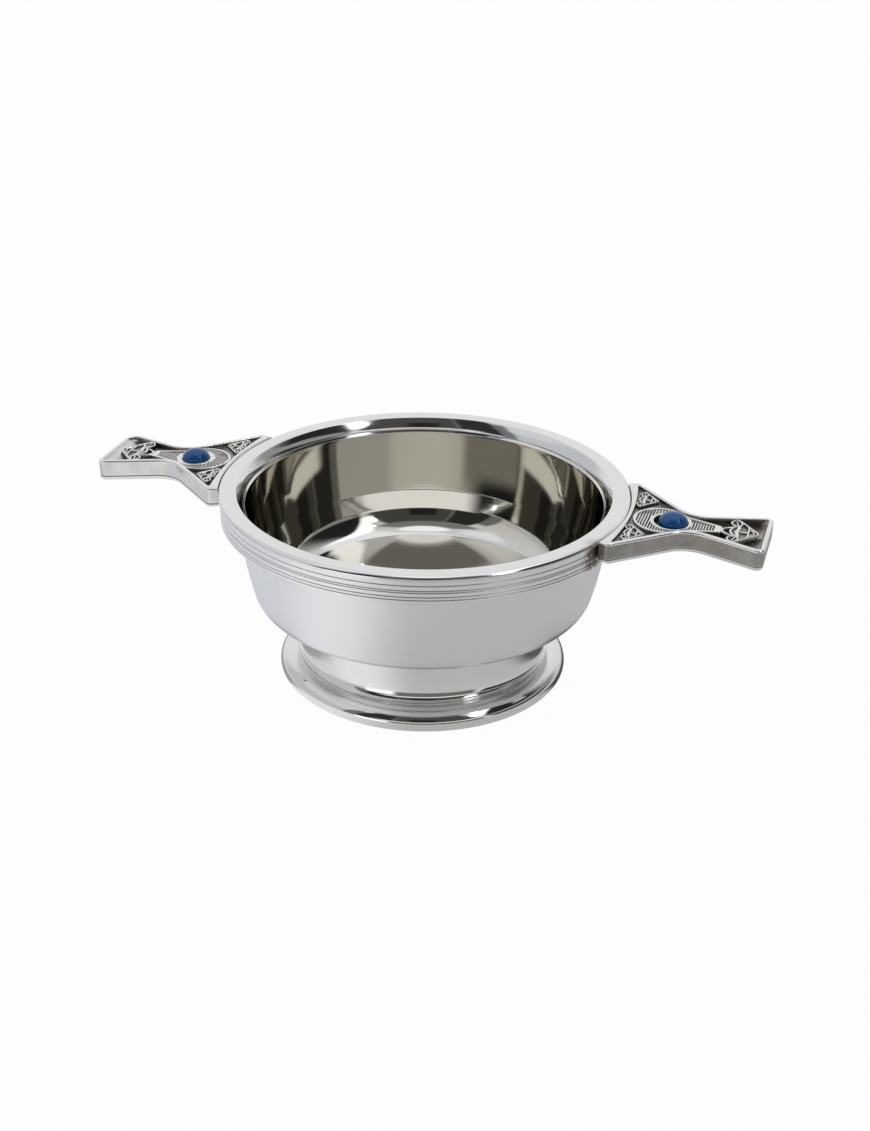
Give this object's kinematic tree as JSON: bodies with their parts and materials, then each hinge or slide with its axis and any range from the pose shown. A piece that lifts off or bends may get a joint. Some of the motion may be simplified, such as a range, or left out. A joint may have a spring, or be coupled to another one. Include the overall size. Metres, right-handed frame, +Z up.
{
  "type": "quaich",
  "caption": "Footed pewter drinking bowl with flat waisted lug handles set with blue domed stones, a reeded rim and a cove foot.",
  "frame": {"origin": "centre of the foot, on the surface that it stands on", "axes": "+X through the right lug, +Z up, the camera of the picture on the -Y side"},
  "size_m": [0.1666, 0.1, 0.0502],
  "materials": {
    "pewter_bowl": "satin outside, mirror polished inside",
    "pewter_rim": "bright satin",
    "pewter_foot": "mirror polished",
    "pewter_lug": "antiqued cast pewter, dark in the recesses",
    "solder": "dull, browned",
    "stone_blue": "polished",
    "cement": "matt"
  },
  "bodies": {
    "root": {"bowl": "pewter_bowl", "rim_lip": "pewter_rim", "reeded_band": "pewter_rim", "rim_solder": "solder", "foot": "pewter_foot", "base_ring": "pewter_foot", "foot_solder": "solder", "lug_left": "pewter_lug", "lug_right": "pewter_lug", "lug_solder_left": "solder", "lug_solder_right": "solder", "cement_left": "cement", "cement_right": "cement", "stone_left": "stone_blue", "stone_right": "stone_blue"}
  },
  "joints": []
}
